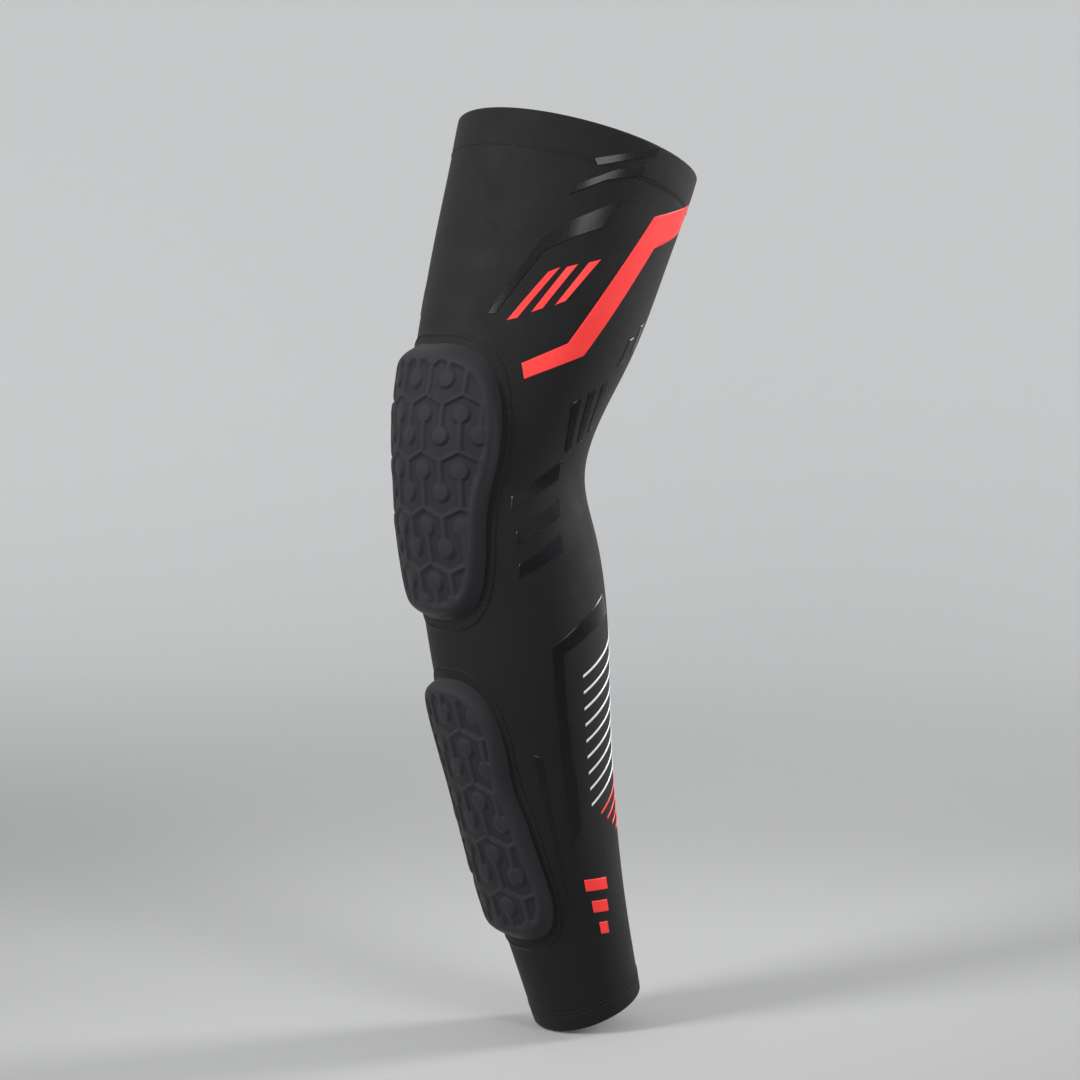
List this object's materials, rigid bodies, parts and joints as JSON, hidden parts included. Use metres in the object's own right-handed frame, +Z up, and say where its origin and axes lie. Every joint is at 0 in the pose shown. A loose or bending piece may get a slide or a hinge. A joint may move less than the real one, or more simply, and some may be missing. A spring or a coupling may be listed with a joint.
{
  "type": "padded compression leg sleeve",
  "caption": "Long compression leg sleeve from thigh to ankle with a honeycomb foam knee pad, a foam shin pad and printed stripes, bending at the knee.",
  "frame": {"origin": "centre of the thigh opening", "axes": "+Z up the leg, the front with the pads faces -Y, +X is the side away from the other leg on a left leg"},
  "size_m": [0.1642, 0.2113, 0.6086],
  "materials": {
    "knit": "fine warp-knit compression fabric, semi-matt near-black",
    "pad_cover": "matt heat-moulded knit over foam, very dark grey",
    "foam": "closed-cell foam, not seen",
    "lining": "matt lining and elastic tape",
    "silicone": "clear-black silicone beads",
    "thread": "black polyester thread, flatlock and coverstitch",
    "gloss_print": "glossy black transfer film",
    "red_print": "satin red transfer film",
    "silver_print": "reflective silver transfer film"
  },
  "bodies": {
    "thigh_section": {"thigh_sleeve": "knit", "thigh_hem": "knit", "thigh_hem_stitching": "thread", "grip_tape": "lining", "grip_beads": "silicone", "thigh_back_seam": "thread", "rim_bars": "gloss_print", "thigh_flash": "gloss_print", "thigh_bars": "red_print", "thigh_chevron": "red_print", "back_thigh_bars": "gloss_print"},
    "knee_section": {"knee_sleeve": "knit", "knee_pad_cover": "pad_cover", "knee_pad_foam": "foam", "knee_pad_backing": "lining", "knee_pad_stitching": "thread", "knee_back_seam": "thread", "side_knee_bars": "gloss_print", "back_knee_bars": "gloss_print"},
    "shin_section": {"calf_sleeve": "knit", "ankle_sleeve": "knit", "ankle_hem": "knit", "ankle_hem_stitching": "thread", "shin_pad_cover": "pad_cover", "shin_pad_foam": "foam", "shin_pad_backing": "lining", "shin_pad_stitching": "thread", "shin_back_seam": "thread", "calf_frame": "gloss_print", "silver_stripes": "silver_print", "red_stripes": "red_print", "shin_dart": "gloss_print", "ankle_dashes": "red_print"}
  },
  "joints": [
    {"name": "upper_knee_bend", "type": "hinge", "parent": "thigh_section", "child": "knee_section", "pos_m": [0, -0.0587, -0.171], "axis": [1, 0, 0], "range_deg": [-14, 42], "deforming": ["knee_sleeve", "knee_back_seam", "thigh_chevron", "thigh_flash", "thigh_bars", "back_thigh_bars", "back_knee_bars"]},
    {"name": "lower_knee_bend", "type": "hinge", "parent": "knee_section", "child": "shin_section", "pos_m": [0, -0.0587, -0.261], "axis": [1, 0, 0], "range_deg": [-14, 42], "deforming": ["side_knee_bars", "calf_frame"]}
  ],
  "couplings": [
    {"joint": "lower_knee_bend", "follows": "upper_knee_bend", "ratio": 1}
  ]
}
